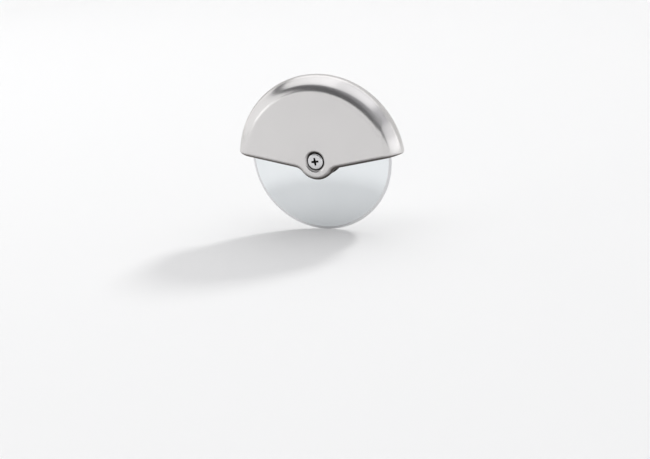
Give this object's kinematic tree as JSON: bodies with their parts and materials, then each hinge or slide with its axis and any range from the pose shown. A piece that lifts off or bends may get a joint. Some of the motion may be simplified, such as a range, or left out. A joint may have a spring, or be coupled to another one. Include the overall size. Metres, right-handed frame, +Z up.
{
  "type": "palm-held pizza knife wheel",
  "caption": "Palm-held pizza wheel: a hollow satin steel half-moon housing grips in the palm while a polished round blade turns on a screwed axle inside it.",
  "frame": {"origin": "floor point under the axle: middle of the bounding box in X and Y, lowest point of the cutting wheel in Z", "axes": "X along the housing's length, Y along the wheel's axle with the screw head on the -Y side, Z up from the cutting edge to the palm rim"},
  "size_m": [0.0936, 0.019, 0.0856],
  "materials": {
    "satin_steel": "satin, softly blasted stainless steel",
    "mirror_steel": "mirror-polished stainless steel with a ground edge",
    "bright_steel": "bright turned stainless steel",
    "black_nylon": "moulded black nylon"
  },
  "bodies": {
    "grip": {"housing": "satin_steel", "front_thrust_washer": "bright_steel", "rear_thrust_washer": "bright_steel", "axle_sleeve": "bright_steel", "axle_screw": "bright_steel"},
    "wheel": {"cutting_wheel": "mirror_steel", "front_hub_bush": "black_nylon", "rear_hub_bush": "black_nylon"}
  },
  "joints": [
    {"name": "wheel_spin", "type": "hinge", "parent": "grip", "child": "wheel", "pos_m": [0, 0, 0.04], "axis": [0, 1, 0], "continuous": true}
  ]
}
